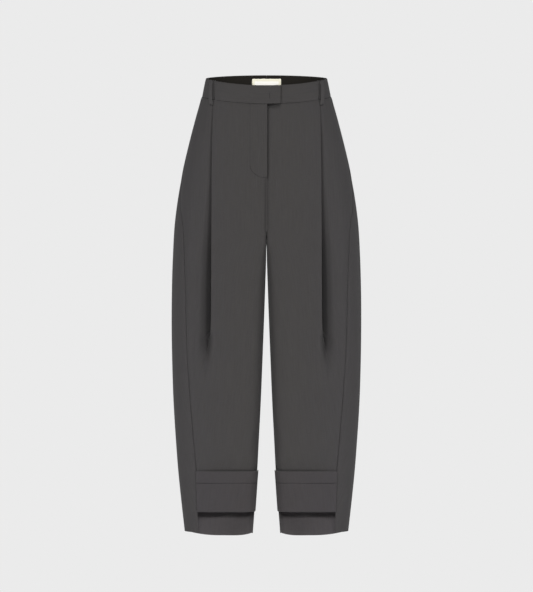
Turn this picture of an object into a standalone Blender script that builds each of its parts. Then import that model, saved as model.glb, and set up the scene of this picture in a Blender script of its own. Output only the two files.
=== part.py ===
"""Barrel leg trousers, hollow and filled out as worn, with turned-up cuffs on the fronts.

Metres, +Z up. The front faces -Y, and the wearer's left is +X. The origin is the middle of the
waist opening, level with the waistband's top edge at the sides. A level is a depth below it.
Each piece of cloth is a grid of points on its middle surface, thickened by a Solidify modifier.
"""

import math
from collections import namedtuple

import bmesh
import bpy
import numpy as np

# Cloth, and the gap that parts two pieces at a seam
CLOTH = 0.0014
CLOTH_ROUGHNESS = 0.85
SEAM_GAP = 0.0003

# Waistband: its top edge dips at the front and rises at the back
BAND_HEIGHT = 0.0420
BAND_SEAM = 0.0009  # the walls lean here, so their edges need more than the plain gap
BAND_CLOTH = 0.0022
BAND_ROWS = 3
BAND_COLUMNS = 26
FRONT_DIP = 0.0110
BACK_RISE = 0.0025
DIP_ENDS = 0.200
TAB_REACH = 0.0323
UNDERLAP = 0.0160
TAB_CLEAR = 0.0320  # the tab stays clear of the other end up to here, and then comes down to it
TAB_RAMP = 0.0300

# Fly: the wearer's right front laps over the left one
FLY_REACH = 0.0015
FLY_BOTTOM = 0.2195
FLY_FADE = 0.0125
FLY_RAMP = 0.0240

# Crotch: the centre seam curves under over this rise, the legs part at this level, and each leg's
# section is even from this far below it
CROTCH = 0.362
CROTCH_RISE = 0.180
LEG_SETTLES = 0.090
HIP_SQUARENESS = 2.1  # a section's exponent, where 2 is an ellipse
LEG_SQUARENESS = 2.55

# Hems: the front ends in the cuff's fold, and the back hangs lower
FRONT_HEM = 1.0060
SIDE_HEM = 1.0500
BACK_HEM_DROP = 0.0102
INNER_HEM_DROP = 0.0058

# Body and legs at each level, with the outer half width, half the gap between the legs, the reach
# of the front and of the back from the side plane, and how far the side seam lies to the front
Section = namedtuple("Section", "down half_width half_gap front back seam_degrees")
BODY = (
    Section(0.000, 0.1412, 0.0000, 0.0920, 0.0920, 0.0),
    Section(0.042, 0.1499, 0.0000, 0.0985, 0.1000, 0.0),
    Section(0.100, 0.1657, 0.0000, 0.1060, 0.1130, 0.0),
    Section(0.170, 0.1834, 0.0000, 0.1105, 0.1235, 1.5),
    Section(0.240, 0.1988, 0.0000, 0.1120, 0.1270, 8.2),
    Section(0.300, 0.2086, 0.0000, 0.1120, 0.1245, 20.3),
    Section(0.336, 0.2130, 0.0002, 0.1105, 0.1215, 32.2),
    Section(0.412, 0.2174, 0.0007, 0.1070, 0.1150, 43.9),
    Section(0.487, 0.2200, 0.0030, 0.1035, 0.1095, 49.6),
    Section(0.563, 0.2210, 0.0057, 0.0990, 0.1040, 51.6),
    Section(0.654, 0.2198, 0.0092, 0.0940, 0.0970, 53.7),
    Section(0.747, 0.2166, 0.0130, 0.0880, 0.0895, 57.0),
    Section(0.840, 0.2106, 0.0177, 0.0810, 0.0815, 59.9),
    Section(0.913, 0.2050, 0.0215, 0.0755, 0.0755, 62.0),
    Section(0.979, 0.1983, 0.0258, 0.0705, 0.0700, 60.7),
    Section(1.050, 0.1903, 0.0316, 0.0650, 0.0650, 57.2),
)

# The exponent of a leg's inner side at each level, where the legs press each other flat at the top
Flatness = namedtuple("Flatness", "down squareness")
INNER_SIDE = (
    Flatness(0.300, 6.0),
    Flatness(0.340, 8.0),
    Flatness(0.362, 14.0),
    Flatness(0.384, 14.0),
    Flatness(0.410, 9.0),
    Flatness(0.470, 6.0),
    Flatness(0.600, 5.0),
    Flatness(1.050, 4.5),
)

# Pleat of each front at each level, with the place of its edge across the body, the cloth tucked
# behind the edge, the depth of the hollow beside it, the width over which the cloth comes up again,
# how far it stands out beyond, the radius of its edge, how far the fold has opened into a soft
# hollow, and how far its columns have then spread over the front
Pleat = namedtuple("Pleat", "down edge tuck depth ramp bulge radius opened spread")
PLEAT = (
    Pleat(0.042, 0.1240, 0.0300, 0.0040, 0.0060, 0.0000, 0.0009, 0.0, 0.0),
    Pleat(0.088, 0.1250, 0.0290, 0.0090, 0.0068, 0.0008, 0.0009, 0.0, 0.0),
    Pleat(0.130, 0.1265, 0.0270, 0.0135, 0.0082, 0.0020, 0.0009, 0.0, 0.0),
    Pleat(0.236, 0.1278, 0.0230, 0.0170, 0.0105, 0.0040, 0.0011, 0.0, 0.0),
    Pleat(0.330, 0.1280, 0.0200, 0.0240, 0.0195, 0.0045, 0.0015, 0.0, 0.0),
    Pleat(0.400, 0.1280, 0.0180, 0.0340, 0.0270, 0.0045, 0.0021, 0.0, 0.0),
    Pleat(0.468, 0.1281, 0.0150, 0.0430, 0.0295, 0.0045, 0.0028, 0.0, 0.0),
    Pleat(0.520, 0.1284, 0.0110, 0.0460, 0.0305, 0.0045, 0.0033, 0.0, 0.0),
    Pleat(0.560, 0.1290, 0.0070, 0.0445, 0.0310, 0.0043, 0.0035, 0.0, 0.0),
    Pleat(0.582, 0.1298, 0.0040, 0.0415, 0.0315, 0.0040, 0.0035, 0.2, 0.0),
    Pleat(0.600, 0.1308, 0.0020, 0.0350, 0.0320, 0.0036, 0.0035, 0.8, 0.0),
    Pleat(0.616, 0.1318, 0.0010, 0.0255, 0.0320, 0.0032, 0.0035, 1.0, 0.0),
    Pleat(0.634, 0.1326, 0.0000, 0.0155, 0.0325, 0.0026, 0.0035, 1.0, 0.1),
    Pleat(0.656, 0.1332, 0.0000, 0.0085, 0.0330, 0.0020, 0.0035, 1.0, 0.3),
    Pleat(0.682, 0.1334, 0.0000, 0.0040, 0.0330, 0.0014, 0.0035, 1.0, 0.5),
    Pleat(0.712, 0.1334, 0.0000, 0.0000, 0.0330, 0.0008, 0.0035, 1.0, 0.7),
    Pleat(0.780, 0.1334, 0.0000, 0.0000, 0.0330, 0.0000, 0.0035, 1.0, 1.0),
)
ARC_STEPS = 3
RAMP_STEPS = 6
RISE_POWER = 1.6
HOLLOW_INNER = 0.30  # of the ramp's width, from the hollow's rim in to the fold's edge
HOLLOW_FLOOR = 0.22
OPEN_IN = 0.006
OPEN_OUT = 0.003
SPREAD_IN = 0.035
SPREAD_OUT = 0.5  # of the width from the fold's edge to the side seam

# Columns of a panel's parts. Those of the inner side lie between the inseam and this corner of the
# leg, and close up at the centre seam above the crotch.
CORNER = 0.0040
INNER_COLUMNS = 3
CENTRE_COLUMNS = 6
SIDE_COLUMNS = 5
BACK_COLUMNS = 12

# Levels of a panel's rows above, across and below the turn of the crotch
HIP_LEVELS = (0.060, 0.088, 0.110, 0.142, 0.174, 0.200, 0.2130, 0.2195, 0.2320, 0.255)
CROTCH_LEVELS = (0.280, 0.303, 0.323, 0.339, 0.350, 0.3575, CROTCH)
THIGH_LEVELS = (0.375, 0.396, 0.430, 0.475, 0.520, 0.560)
PLEAT_END_LEVELS = (0.582, 0.600, 0.616, 0.634, 0.656, 0.682, 0.712)
SHIN_LEVELS = (0.760, 0.830)
BACK_HEM_LEVELS = (1.020, 1.035, SIDE_HEM)

# Cuff turned up on each front, whose fold hangs just below the cloth inside it
CUFF_TOP = 0.9105
CUFF_CLOTH = 0.0022
CUFF_OVERHANG = 0.0015
HEM_LEVELS = (CUFF_TOP, 0.9380, 0.9720, FRONT_HEM)
CUFF_LEVELS = (*HEM_LEVELS[:-1], FRONT_HEM + CUFF_OVERHANG)
UPPER_LEVELS = (BAND_HEIGHT + BAND_SEAM, *HIP_LEVELS, *CROTCH_LEVELS)
PANEL_LEVELS = (*UPPER_LEVELS, *THIGH_LEVELS, *PLEAT_END_LEVELS, *SHIN_LEVELS, *HEM_LEVELS)

# Belt loops. The front one's middle lies this far across the body, and the back one's this share
# of the way from the centre front to the centre back.
LOOP_WIDTH = 0.0115
LOOP_CLOTH = 0.0018
LOOP_TOP = 0.0015
LOOP_BOTTOM = 0.0540
LOOP_STAND = 0.0026
LOOP_HELD = 0.25  # share of the loop's length over which each end comes away from the waistband
LOOP_ROWS = 9
FRONT_LOOP = 0.1275
BACK_LOOP_SHARE = 0.74
END_LIFT = 0.0004

# Blank label inside the back of the waistband
LABEL_WIDTH = 0.0680
LABEL_HEIGHT = 0.0280
LABEL_CLOTH = 0.0010
LABEL_TOP = 0.0080
LABEL_COLUMNS = 8
LABEL_ROUGHNESS = 0.7

CHARCOAL = (0.067, 0.064, 0.065)
CHARCOAL_CUFF = (0.066, 0.061, 0.065)
CREAM = (0.86, 0.83, 0.74)


def eased(share):
    """0 to 1 with a soft start and end."""
    share = min(max(share, 0.0), 1.0)
    return share * share * (3 - 2 * share)


def on_curve(rows, column, down):
    """A table's column at this level, on a smooth curve through its rows."""
    levels = np.array([row.down for row in rows])
    values = np.array([getattr(row, column) for row in rows])
    slopes = np.gradient(values, levels)
    k = int(np.clip(np.searchsorted(levels, down) - 1, 0, len(levels) - 2))
    step = levels[k + 1] - levels[k]
    t = (down - levels[k]) / step
    start = (1 + 2 * t) * (1 - t) ** 2 * values[k] + t * (1 - t) ** 2 * step * slopes[k]
    end = t * t * (3 - 2 * t) * values[k + 1] + t * t * (t - 1) * step * slopes[k + 1]
    return start + end


def on_lines(rows, column, down):
    """A table's column at this level, on straight lines between its rows."""
    return np.interp(down, [row.down for row in rows], [getattr(row, column) for row in rows])


def leg_share(down):
    """How far the section's middle has moved out to the leg's: 0 at the hip, 1 in the leg."""
    return eased((down - CROTCH + CROTCH_RISE) / (CROTCH_RISE + LEG_SETTLES))


def closed_share(down):
    """How far the section's inner side has closed round the leg: 0 at the hip, 1 at the crotch.

    It starts as the leg's share does, so that the hip's front and back stay smooth.
    """
    sunk = min(max((down - CROTCH + CROTCH_RISE) / CROTCH_RISE, 0.0), 1.0)
    start = 3 * (CROTCH_RISE / (CROTCH_RISE + LEG_SETTLES)) ** 2
    return start * sunk**2 + (1 - start) * sunk**3


class Contour:
    """The outside of the cloth round the +X half of the body at one level.

    A length along it starts at the centre front, or at the inseam below the crotch, and ends at
    the centre back or the inseam. It runs on a little past both.
    """

    PAST = math.radians(32)
    HALF_CLOSED = 0.5  # from here the contour ends at the centre seam
    STEPS = 720

    def __init__(self, down):
        inner = max(on_curve(BODY, "half_gap", down), SEAM_GAP / 2)
        self.inner = inner
        width = on_curve(BODY, "half_width", down) - inner
        outer_radius = width / (1 + leg_share(down))
        middle = inner + width - outer_radius
        closed = closed_share(down)
        inner_radius = (middle - inner) / closed if closed > 0 else width
        outer_squareness, inner_squareness = (
            HIP_SQUARENESS + (square - HIP_SQUARENESS) * leg_share(down)
            for square in (LEG_SQUARENESS, on_lines(INNER_SIDE, "squareness", down))
        )
        centre = math.pi - math.acos(closed ** (inner_squareness / 2))
        past = self.PAST if closed < self.HALF_CLOSED else 0.0
        angle = np.linspace(centre + past, -centre - past, self.STEPS)
        cos, sin = np.cos(angle), np.sin(angle)
        reach = np.where(sin > 0, on_curve(BODY, "front", down), on_curve(BODY, "back", down))
        power = 2 / np.where(cos > 0, outer_squareness, inner_squareness)
        radius = np.where(cos > 0, outer_radius, inner_radius)
        self.x = middle + radius * np.sign(cos) * np.abs(cos) ** power
        self.y = -reach * np.sign(sin) * np.abs(sin) ** power
        lengths = np.hypot(np.diff(self.x), np.diff(self.y))
        along = np.concatenate([[0.0], np.cumsum(lengths)])
        self.along = along - np.interp(-centre, -angle, along)
        self.back = float(np.interp(centre, -angle, self.along))
        seam = math.radians(on_curve(BODY, "seam_degrees", down))
        self.seam = float(np.interp(-seam, -angle, self.along))
        dx, dy = np.gradient(self.x), np.gradient(self.y)
        size = np.hypot(dx, dy)
        self.out_x, self.out_y = dy / size, -dx / size
        self.z = -down - self.dip(down, cos, sin)

    @staticmethod
    def dip(down, cos, sin):
        """How much lower than its level each point lies."""
        fade = 1 - eased((down - BAND_HEIGHT) / (DIP_ENDS - BAND_HEIGHT))
        waist = np.where(sin > 0, FRONT_DIP, -BACK_RISE) * fade * sin**2
        share = max(down - FRONT_HEM, 0.0) / (SIDE_HEM - FRONT_HEM)
        hem = np.where(sin < 0, BACK_HEM_DROP, 0.0) * sin**2 + INNER_HEM_DROP * (1 - cos) / 2
        return waist + share * hem

    def at(self, along, out=0.0):
        """The point this far along and this far outside the cloth."""
        x = np.interp(along, self.along, self.x) + out * np.interp(along, self.along, self.out_x)
        y = np.interp(along, self.along, self.y) + out * np.interp(along, self.along, self.out_y)
        return x, y, np.interp(along, self.along, self.z)

    def at_width(self, width):
        """The length along at which the front reaches this far across the body."""
        front = (self.y < 0) & (self.along > -SEAM_GAP)
        return float(np.interp(width, self.x[front], self.along[front]))

    def back_corner(self):
        """The length along at which the back turns in to the centre seam or the inner side."""
        back = (self.y > 0) & (self.along < self.back + SEAM_GAP)
        return float(np.interp(self.inner + CORNER, self.x[back][::-1], self.along[back][::-1]))


def mirrored(grid):
    return [[(-x, y, z) for x, y, z in row] for row in grid]


def sheet_mesh(name, grid):
    """A mesh of triangles over a grid of points, each square split along its shorter diagonal."""
    bm = bmesh.new()
    verts = [[bm.verts.new(point) for point in row] for row in grid]
    for upper, lower in zip(verts, verts[1:]):
        for a, b, c, d in zip(upper, upper[1:], lower[1:], lower):
            if (a.co - c.co).length < (b.co - d.co).length:
                corners = ((a, b, c), (a, c, d))
            else:
                corners = ((a, b, d), (b, c, d))
            for triangle in corners:
                bm.faces.new(triangle)
    bmesh.ops.recalc_face_normals(bm, faces=bm.faces)
    mesh = bpy.data.meshes.new(name)
    bm.to_mesh(mesh)
    bm.free()
    return mesh


def finish(obj, colour, roughness):
    material = bpy.data.materials.new(obj.name + "_cloth")
    material.use_nodes = True
    shader = material.node_tree.nodes["Principled BSDF"]
    shader.inputs["Base Color"].default_value = (*colour, 1.0)
    shader.inputs["Roughness"].default_value = roughness
    shader.inputs["Metallic"].default_value = 0.0
    obj.data.materials.append(material)


def cloth(name, grid, thickness, colour=CHARCOAL, roughness=CLOTH_ROUGHNESS):
    """A piece of cloth of this thickness, half of it on each side of the grid."""
    obj = bpy.data.objects.new(name, sheet_mesh(name, grid))
    bpy.context.scene.collection.objects.link(obj)
    solidify = obj.modifiers.new("thickness", "SOLIDIFY")
    solidify.thickness = thickness
    solidify.offset = 0.0
    obj.data.shade_smooth()
    finish(obj, colour, roughness)
    return obj


def folded(tuck, depth, ramp, radius):
    """The middle line of the cloth through the pleat, as (along, out) from the fold's edge.

    It turns back under the edge, runs in by the tuck, turns out again and rises to the side.
    """
    first = np.array((-radius, -radius))
    second = np.array((-radius - tuck, radius - depth))
    across = second - first
    lean = math.acos(min(2 * radius / np.hypot(*across), 1.0))
    leave = math.atan2(across[1], across[0]) + lean
    over = [
        first + radius * np.array((math.cos(a), math.sin(a)))
        for a in np.linspace(math.pi / 2, leave, ARC_STEPS + 1)
    ]
    under = [
        second + radius * np.array((math.cos(a), math.sin(a)))
        for a in np.linspace(leave + math.pi, 1.5 * math.pi, ARC_STEPS + 1)
    ]
    back = [(over[-1] + under[0]) / 2]
    beneath = [np.array((under[-1][0] / 2, -depth))]
    rise = [
        np.array((share * ramp, -depth * (1 - share) ** RISE_POWER))
        for share in np.linspace(0, 1, RAMP_STEPS + 1)
    ]
    return np.array(over + back + under + beneath + rise)


def hollow(place):
    """The shape of the opened fold's soft hollow, where 0 is the fold's edge and 1 the far rim."""
    sinks = eased((place + HOLLOW_INNER) / (HOLLOW_INNER + HOLLOW_FLOOR))
    left = min(max((1 - place) / (1 - HOLLOW_FLOOR), 0.0), 1.0)
    return sinks * left**RISE_POWER


def fly_lift(down):
    """How far the lapping front's edge stands off, so that it clears the other front."""
    return (CLOTH + SEAM_GAP) * (1 - eased((down - FLY_BOTTOM) / FLY_FADE))


def front_path(contour, down, laps=False):
    """The places (along, out) of a front's columns, from the centre or inseam to the side seam."""
    edge = contour.at_width(on_lines(PLEAT, "edge", down))
    end = contour.seam - SEAM_GAP / 2
    tuck, depth, ramp, radius = (
        on_lines(PLEAT, column, down) for column in ("tuck", "depth", "ramp", "radius")
    )
    fold = folded(tuck, depth, ramp, radius)
    spread = eased(on_lines(PLEAT, "spread", down))
    first = -OPEN_IN - spread * (SPREAD_IN - OPEN_IN)
    last = ramp + OPEN_OUT + spread * (SPREAD_OUT * (end - edge) - ramp - OPEN_OUT)
    flat = [(a, -depth * hollow(a / ramp)) for a in np.linspace(first, last, len(fold))]
    opened = eased(on_lines(PLEAT, "opened", down))
    fold = (1 - opened) * fold + opened * np.array(flat)
    fold[:, 0] += edge
    start = SEAM_GAP / 2 if down >= CROTCH else 0.0
    if laps and down < FLY_BOTTOM:
        start = -FLY_REACH
    lift = fly_lift(down) if laps else 0.0
    corner = contour.at_width(contour.inner + CORNER)
    inner = np.linspace(start, corner, INNER_COLUMNS, endpoint=False)
    centre = np.linspace(corner, fold[0][0], CENTRE_COLUMNS, endpoint=False)
    columns = (*inner, *centre)
    path = [(along, lift * eased(1 - (along - start) / FLY_RAMP)) for along in columns]
    path += [(along, out) for along, out in fold]
    bulge = on_lines(PLEAT, "bulge", down)
    for share in np.linspace(0, 1, SIDE_COLUMNS + 1)[1:]:
        along = fold[-1][0] + share * (end - fold[-1][0])
        path.append((along, bulge * math.sin(math.pi * share)))
    return path


def front_row(down, laps):
    """One row of a front's middle surface."""
    contour = Contour(down)
    return [contour.at(along, out - CLOTH / 2) for along, out in front_path(contour, down, laps)]


def back_row(down):
    """One row of a back's middle surface, from the side seam to the centre or inseam."""
    contour = Contour(down)
    end = contour.back - (SEAM_GAP / 2 if down >= CROTCH else 0.0)
    corner = contour.back_corner()
    outer = np.linspace(contour.seam + SEAM_GAP / 2, corner, BACK_COLUMNS, endpoint=False)
    inner = np.linspace(corner, end, INNER_COLUMNS + 1)
    return [contour.at(along, -CLOTH / 2) for along in (*outer, *inner)]


def fronts():
    cloth("front_left", [front_row(down, False) for down in PANEL_LEVELS], CLOTH)
    cloth("front_right", mirrored([front_row(down, True) for down in PANEL_LEVELS]), CLOTH)


def backs():
    grid = [back_row(down) for down in (*PANEL_LEVELS, *BACK_HEM_LEVELS)]
    cloth("back_left", grid, CLOTH)
    cloth("back_right", mirrored(grid), CLOTH)


def band_grid(start, lapping):
    """Half a waistband, from its end near the centre front round to the centre back."""
    grid = []
    for down in np.linspace(0, BAND_HEIGHT, BAND_ROWS + 1):
        contour = Contour(down)
        row = []
        for along in np.linspace(start, contour.back, BAND_COLUMNS + 1):
            lowered = eased((along - TAB_CLEAR) / TAB_RAMP)
            lift = (BAND_CLOTH + SEAM_GAP) * (1 - lowered) if lapping else 0.0
            row.append(contour.at(along, lift - BAND_CLOTH / 2))
        grid.append(row)
    return grid


def waistband():
    """The wearer's right half ends in a tab over the left half, which runs on under it."""
    cloth("waistband_right", mirrored(band_grid(-TAB_REACH, True)), BAND_CLOTH)
    cloth("waistband_left", band_grid(-UNDERLAP, False), BAND_CLOTH)


def cuffs():
    """Each lies on its front's lower end, over that front's own columns."""
    out = SEAM_GAP + CUFF_CLOTH / 2
    grid = []
    for down in CUFF_LEVELS:
        contour = Contour(down)
        grid.append([contour.at(along, out) for along, _ in front_path(contour, down)])
    cloth("cuff_left", grid, CUFF_CLOTH, CHARCOAL_CUFF)
    cloth("cuff_right", mirrored(grid), CUFF_CLOTH, CHARCOAL_CUFF)


def loop_grid(place):
    """A belt loop over the waistband, held at both ends and standing off between them."""
    grid = []
    for share in np.linspace(0, 1, LOOP_ROWS + 1):
        contour = Contour(LOOP_TOP + share * (LOOP_BOTTOM - LOOP_TOP))
        middle = place(contour)
        off = END_LIFT + LOOP_CLOTH / 2 + LOOP_STAND * eased(min(share, 1 - share) / LOOP_HELD)
        width = (-LOOP_WIDTH / 2, 0, LOOP_WIDTH / 2)
        grid.append([contour.at(middle + across, off) for across in width])
    return grid


def belt_loops():
    front = loop_grid(lambda contour: contour.at_width(FRONT_LOOP))
    back = loop_grid(lambda contour: BACK_LOOP_SHARE * contour.back)
    centre = loop_grid(lambda contour: contour.back)
    cloth("belt_loop_front_left", front, LOOP_CLOTH)
    cloth("belt_loop_front_right", mirrored(front), LOOP_CLOTH)
    cloth("belt_loop_back_left", back, LOOP_CLOTH)
    cloth("belt_loop_back_right", mirrored(back), LOOP_CLOTH)
    cloth("belt_loop_back", centre, LOOP_CLOTH)


def label():
    """A blank label against the inner face of the waistband at the centre back."""
    out = -BAND_CLOTH - SEAM_GAP - LABEL_CLOTH / 2
    grid = []
    for down in (LABEL_TOP, LABEL_TOP + LABEL_HEIGHT / 2, LABEL_TOP + LABEL_HEIGHT):
        contour = Contour(down)
        width = np.linspace(-LABEL_WIDTH / 2, LABEL_WIDTH / 2, LABEL_COLUMNS + 1)
        grid.append([contour.at(contour.back + across, out) for across in width])
    cloth("label", grid, LABEL_CLOTH, CREAM, LABEL_ROUGHNESS)


def main():
    for obj in list(bpy.data.objects):
        bpy.data.objects.remove(obj)
    fronts()
    backs()
    waistband()
    cuffs()
    belt_loops()
    label()


main()
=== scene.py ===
"""The looks of the barrel leg trousers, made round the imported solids.

Metres, +Z up, with the front towards -Y and the wearer's left at +X, as in the frame. Each piece
of cloth is a fine shell on its solid's form. A level is a depth below the waistband's top edge.
"""

import math
from collections import namedtuple

import bmesh
import bpy
import numpy as np
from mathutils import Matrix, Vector


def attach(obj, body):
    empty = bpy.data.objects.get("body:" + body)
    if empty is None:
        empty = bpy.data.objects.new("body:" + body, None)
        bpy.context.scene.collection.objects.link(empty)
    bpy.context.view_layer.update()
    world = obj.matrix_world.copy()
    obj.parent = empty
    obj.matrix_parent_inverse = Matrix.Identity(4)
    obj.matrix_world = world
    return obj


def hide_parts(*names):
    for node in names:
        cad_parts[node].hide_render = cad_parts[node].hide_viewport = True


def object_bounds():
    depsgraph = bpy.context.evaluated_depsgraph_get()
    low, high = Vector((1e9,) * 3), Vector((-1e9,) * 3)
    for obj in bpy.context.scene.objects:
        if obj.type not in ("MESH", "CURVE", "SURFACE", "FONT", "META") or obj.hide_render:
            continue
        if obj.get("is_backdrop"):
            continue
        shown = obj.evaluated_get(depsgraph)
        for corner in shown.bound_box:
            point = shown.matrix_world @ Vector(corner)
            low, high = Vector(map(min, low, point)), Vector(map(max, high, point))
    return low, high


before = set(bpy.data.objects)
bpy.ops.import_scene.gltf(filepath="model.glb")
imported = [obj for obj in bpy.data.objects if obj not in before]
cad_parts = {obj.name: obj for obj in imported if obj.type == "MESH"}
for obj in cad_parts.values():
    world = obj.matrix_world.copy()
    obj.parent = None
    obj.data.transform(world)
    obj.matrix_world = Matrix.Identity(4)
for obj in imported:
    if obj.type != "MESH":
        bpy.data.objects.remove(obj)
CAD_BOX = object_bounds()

SIDES = (("left", 1), ("right", -1))

# Photo's frame, in pixels and in metres a pixel
PHOTO_SIZE = (533, 592)
METRES_A_PIXEL = 0.002323
WAIST_ROW = 78.5
CAMERA_RISE = math.radians(3.0)
CAMERA_REACH = 4.0

# Cloth and its seams
CLOTH = 0.0014
CLOTH_EDGE = 0.0003
ROUNDED_ANGLE = math.radians(60)
SHARP_ANGLE = math.radians(50)
SEAM_GAP = 0.0003
SEAM_MEETS = 0.0003
SEAM_TURN = 0.5
ROLL_DEPTH = 0.0011
ROLL_WIDTH = 0.0028
ROLL_FADE = 1.6
SIDE_ROLL = 1.7
ALLOWANCE = 0.0085
ALLOWANCE_RISE = 0.0011
ALLOWANCE_EDGE = 0.0012

# Waistband, with its tab and the left front's hollow and sag under it
BAND_HEIGHT = 0.0420
BAND_SEAM = 0.0009
BAND_CLOTH = 0.0022
BAND_EDGE = 0.0006
BAND_CROWN = 0.0005
BAND_ROLL = 0.0006
BAND_ROLL_WIDTH = 0.002
FRONT_DIP = 0.0110
BACK_RISE = 0.0025
DIP_ENDS = 0.200
TAB_REACH = 0.0323
UNDERLAP = 0.0160
TAB_CLEAR = 0.0320
TAB_RAMP = 0.0300
TAB_GROOVE = 0.0024
TAB_GROOVE_WIDTH = 0.0017
TAB_HOLLOW = 0.0170
TAB_HOLLOW_HEIGHT = 0.0054
TAB_HOLLOW_SHORT = 0.0040
TAB_HOLLOW_FADE = 0.0060
TAB_SAG = 0.0060
TAB_SAG_FADE = 0.0140
TAB_TACK_ALONG = -0.0070
TAB_TACK_TOP = 0.0180
TAB_TACK_HEIGHT = 0.0130

# Fly, with the slit that the left front leaves beside its edge
FLY_REACH = 0.0015
FLY_BOTTOM = 0.2195
FLY_FADE = 0.0125
FLY_RAMP = 0.0240
FLY_STITCH = 0.0383
FLY_STITCH_TOP = 0.0445
FLY_CURVE_TOP = 0.1960
FLY_CURVE_DROP = 0.0288
SLIT_DEPTH = 0.0070
SLIT_WIDTH = 0.0012
SLIT_RAMP = 0.0040

# Crotch, with the valley down the centre front above it and the pressed inner thighs below it
CROTCH = 0.362
CROTCH_RISE = 0.180
LEG_SETTLES = 0.090
CROTCH_SOFT = 0.060
CROTCH_EDGE = 0.022
VALLEY_DEPTH = 0.0042
VALLEY_WIDTH = 0.0062
VALLEY_START = 0.030
VALLEY_END = 0.040
LEGS_TOUCH = 0.3794
LEGS_PART = 0.013
LEGS_TOUCH_WIDTH = 0.012
LEGS_PRESS = 0.014
LEGS_PRESS_START = 0.018

# Hems, whose edges lie up to 3.5 mm off the solids', and cuffs
FRONT_HEM = 1.0025
SIDE_HEM = 1.0518
BACK_HEM_DROP = 0.0112
INNER_HEM_DROP = 0.0058
CUFF_TOP = 0.9105
CUFF_CLOTH = 0.0022
CUFF_OVERHANG = 0.0015
CUFF_BAND = 0.0275
CUFF_LINE = CUFF_TOP + CUFF_BAND
CUFF_STAND = 0.0012
CUFF_SETTLES = 0.05
CUFF_GROOVE = 0.0011
CUFF_GROOVE_WIDTH = 0.0012
CUFF_WAVE = 0.0003
CUFF_WAVE_START = 4.5
CUFF_WAVE_TURN = 40.0
CUFF_SHELL = 0.0018
CUFF_TROUGH = 0.0036
CUFF_TROUGH_HEIGHT = 0.014
CUFF_TROUGH_POWER = 0.5
CUFF_NICK = 0.0050
CUFF_NICK_HEIGHT = 0.0034
CUFF_FOLD_HEIGHT = 0.0009
CUFF_FOLD_START = 0.0012
CUFF_FOLD_DROP = CUFF_OVERHANG - 0.0003

# The body and legs at each level, and the exponents of their rounded sections, as in the solids
HIP_SQUARENESS = 2.1
LEG_SQUARENESS = 2.55
Section = namedtuple("Section", "down half_width half_gap front back seam_degrees")
BODY = (
    Section(0.000, 0.1412, 0.0000, 0.0920, 0.0920, 0.0),
    Section(0.042, 0.1499, 0.0000, 0.0985, 0.1000, 0.0),
    Section(0.100, 0.1657, 0.0000, 0.1060, 0.1130, 0.0),
    Section(0.170, 0.1834, 0.0000, 0.1105, 0.1235, 1.5),
    Section(0.240, 0.1988, 0.0000, 0.1120, 0.1270, 8.2),
    Section(0.300, 0.2086, 0.0000, 0.1120, 0.1245, 20.3),
    Section(0.336, 0.2130, 0.0002, 0.1105, 0.1215, 32.2),
    Section(0.412, 0.2174, 0.0007, 0.1070, 0.1150, 43.9),
    Section(0.487, 0.2200, 0.0030, 0.1035, 0.1095, 49.6),
    Section(0.563, 0.2210, 0.0057, 0.0990, 0.1040, 51.6),
    Section(0.654, 0.2198, 0.0092, 0.0940, 0.0970, 53.7),
    Section(0.747, 0.2166, 0.0130, 0.0880, 0.0895, 57.0),
    Section(0.840, 0.2106, 0.0177, 0.0810, 0.0815, 59.9),
    Section(0.913, 0.2050, 0.0215, 0.0755, 0.0755, 62.0),
    Section(0.979, 0.1983, 0.0258, 0.0705, 0.0700, 60.7),
    Section(1.050, 0.1903, 0.0316, 0.0650, 0.0650, 57.2),
)

# The exponent of a leg's inner side, which is flattest where the legs press together
Flatness = namedtuple("Flatness", "down squareness")
INNER_SIDE = (
    Flatness(0.300, 6.0),
    Flatness(0.340, 8.0),
    Flatness(0.362, 14.0),
    Flatness(0.384, 14.0),
    Flatness(0.410, 9.0),
    Flatness(0.470, 6.0),
    Flatness(0.600, 5.0),
    Flatness(1.050, 4.5),
)

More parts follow.
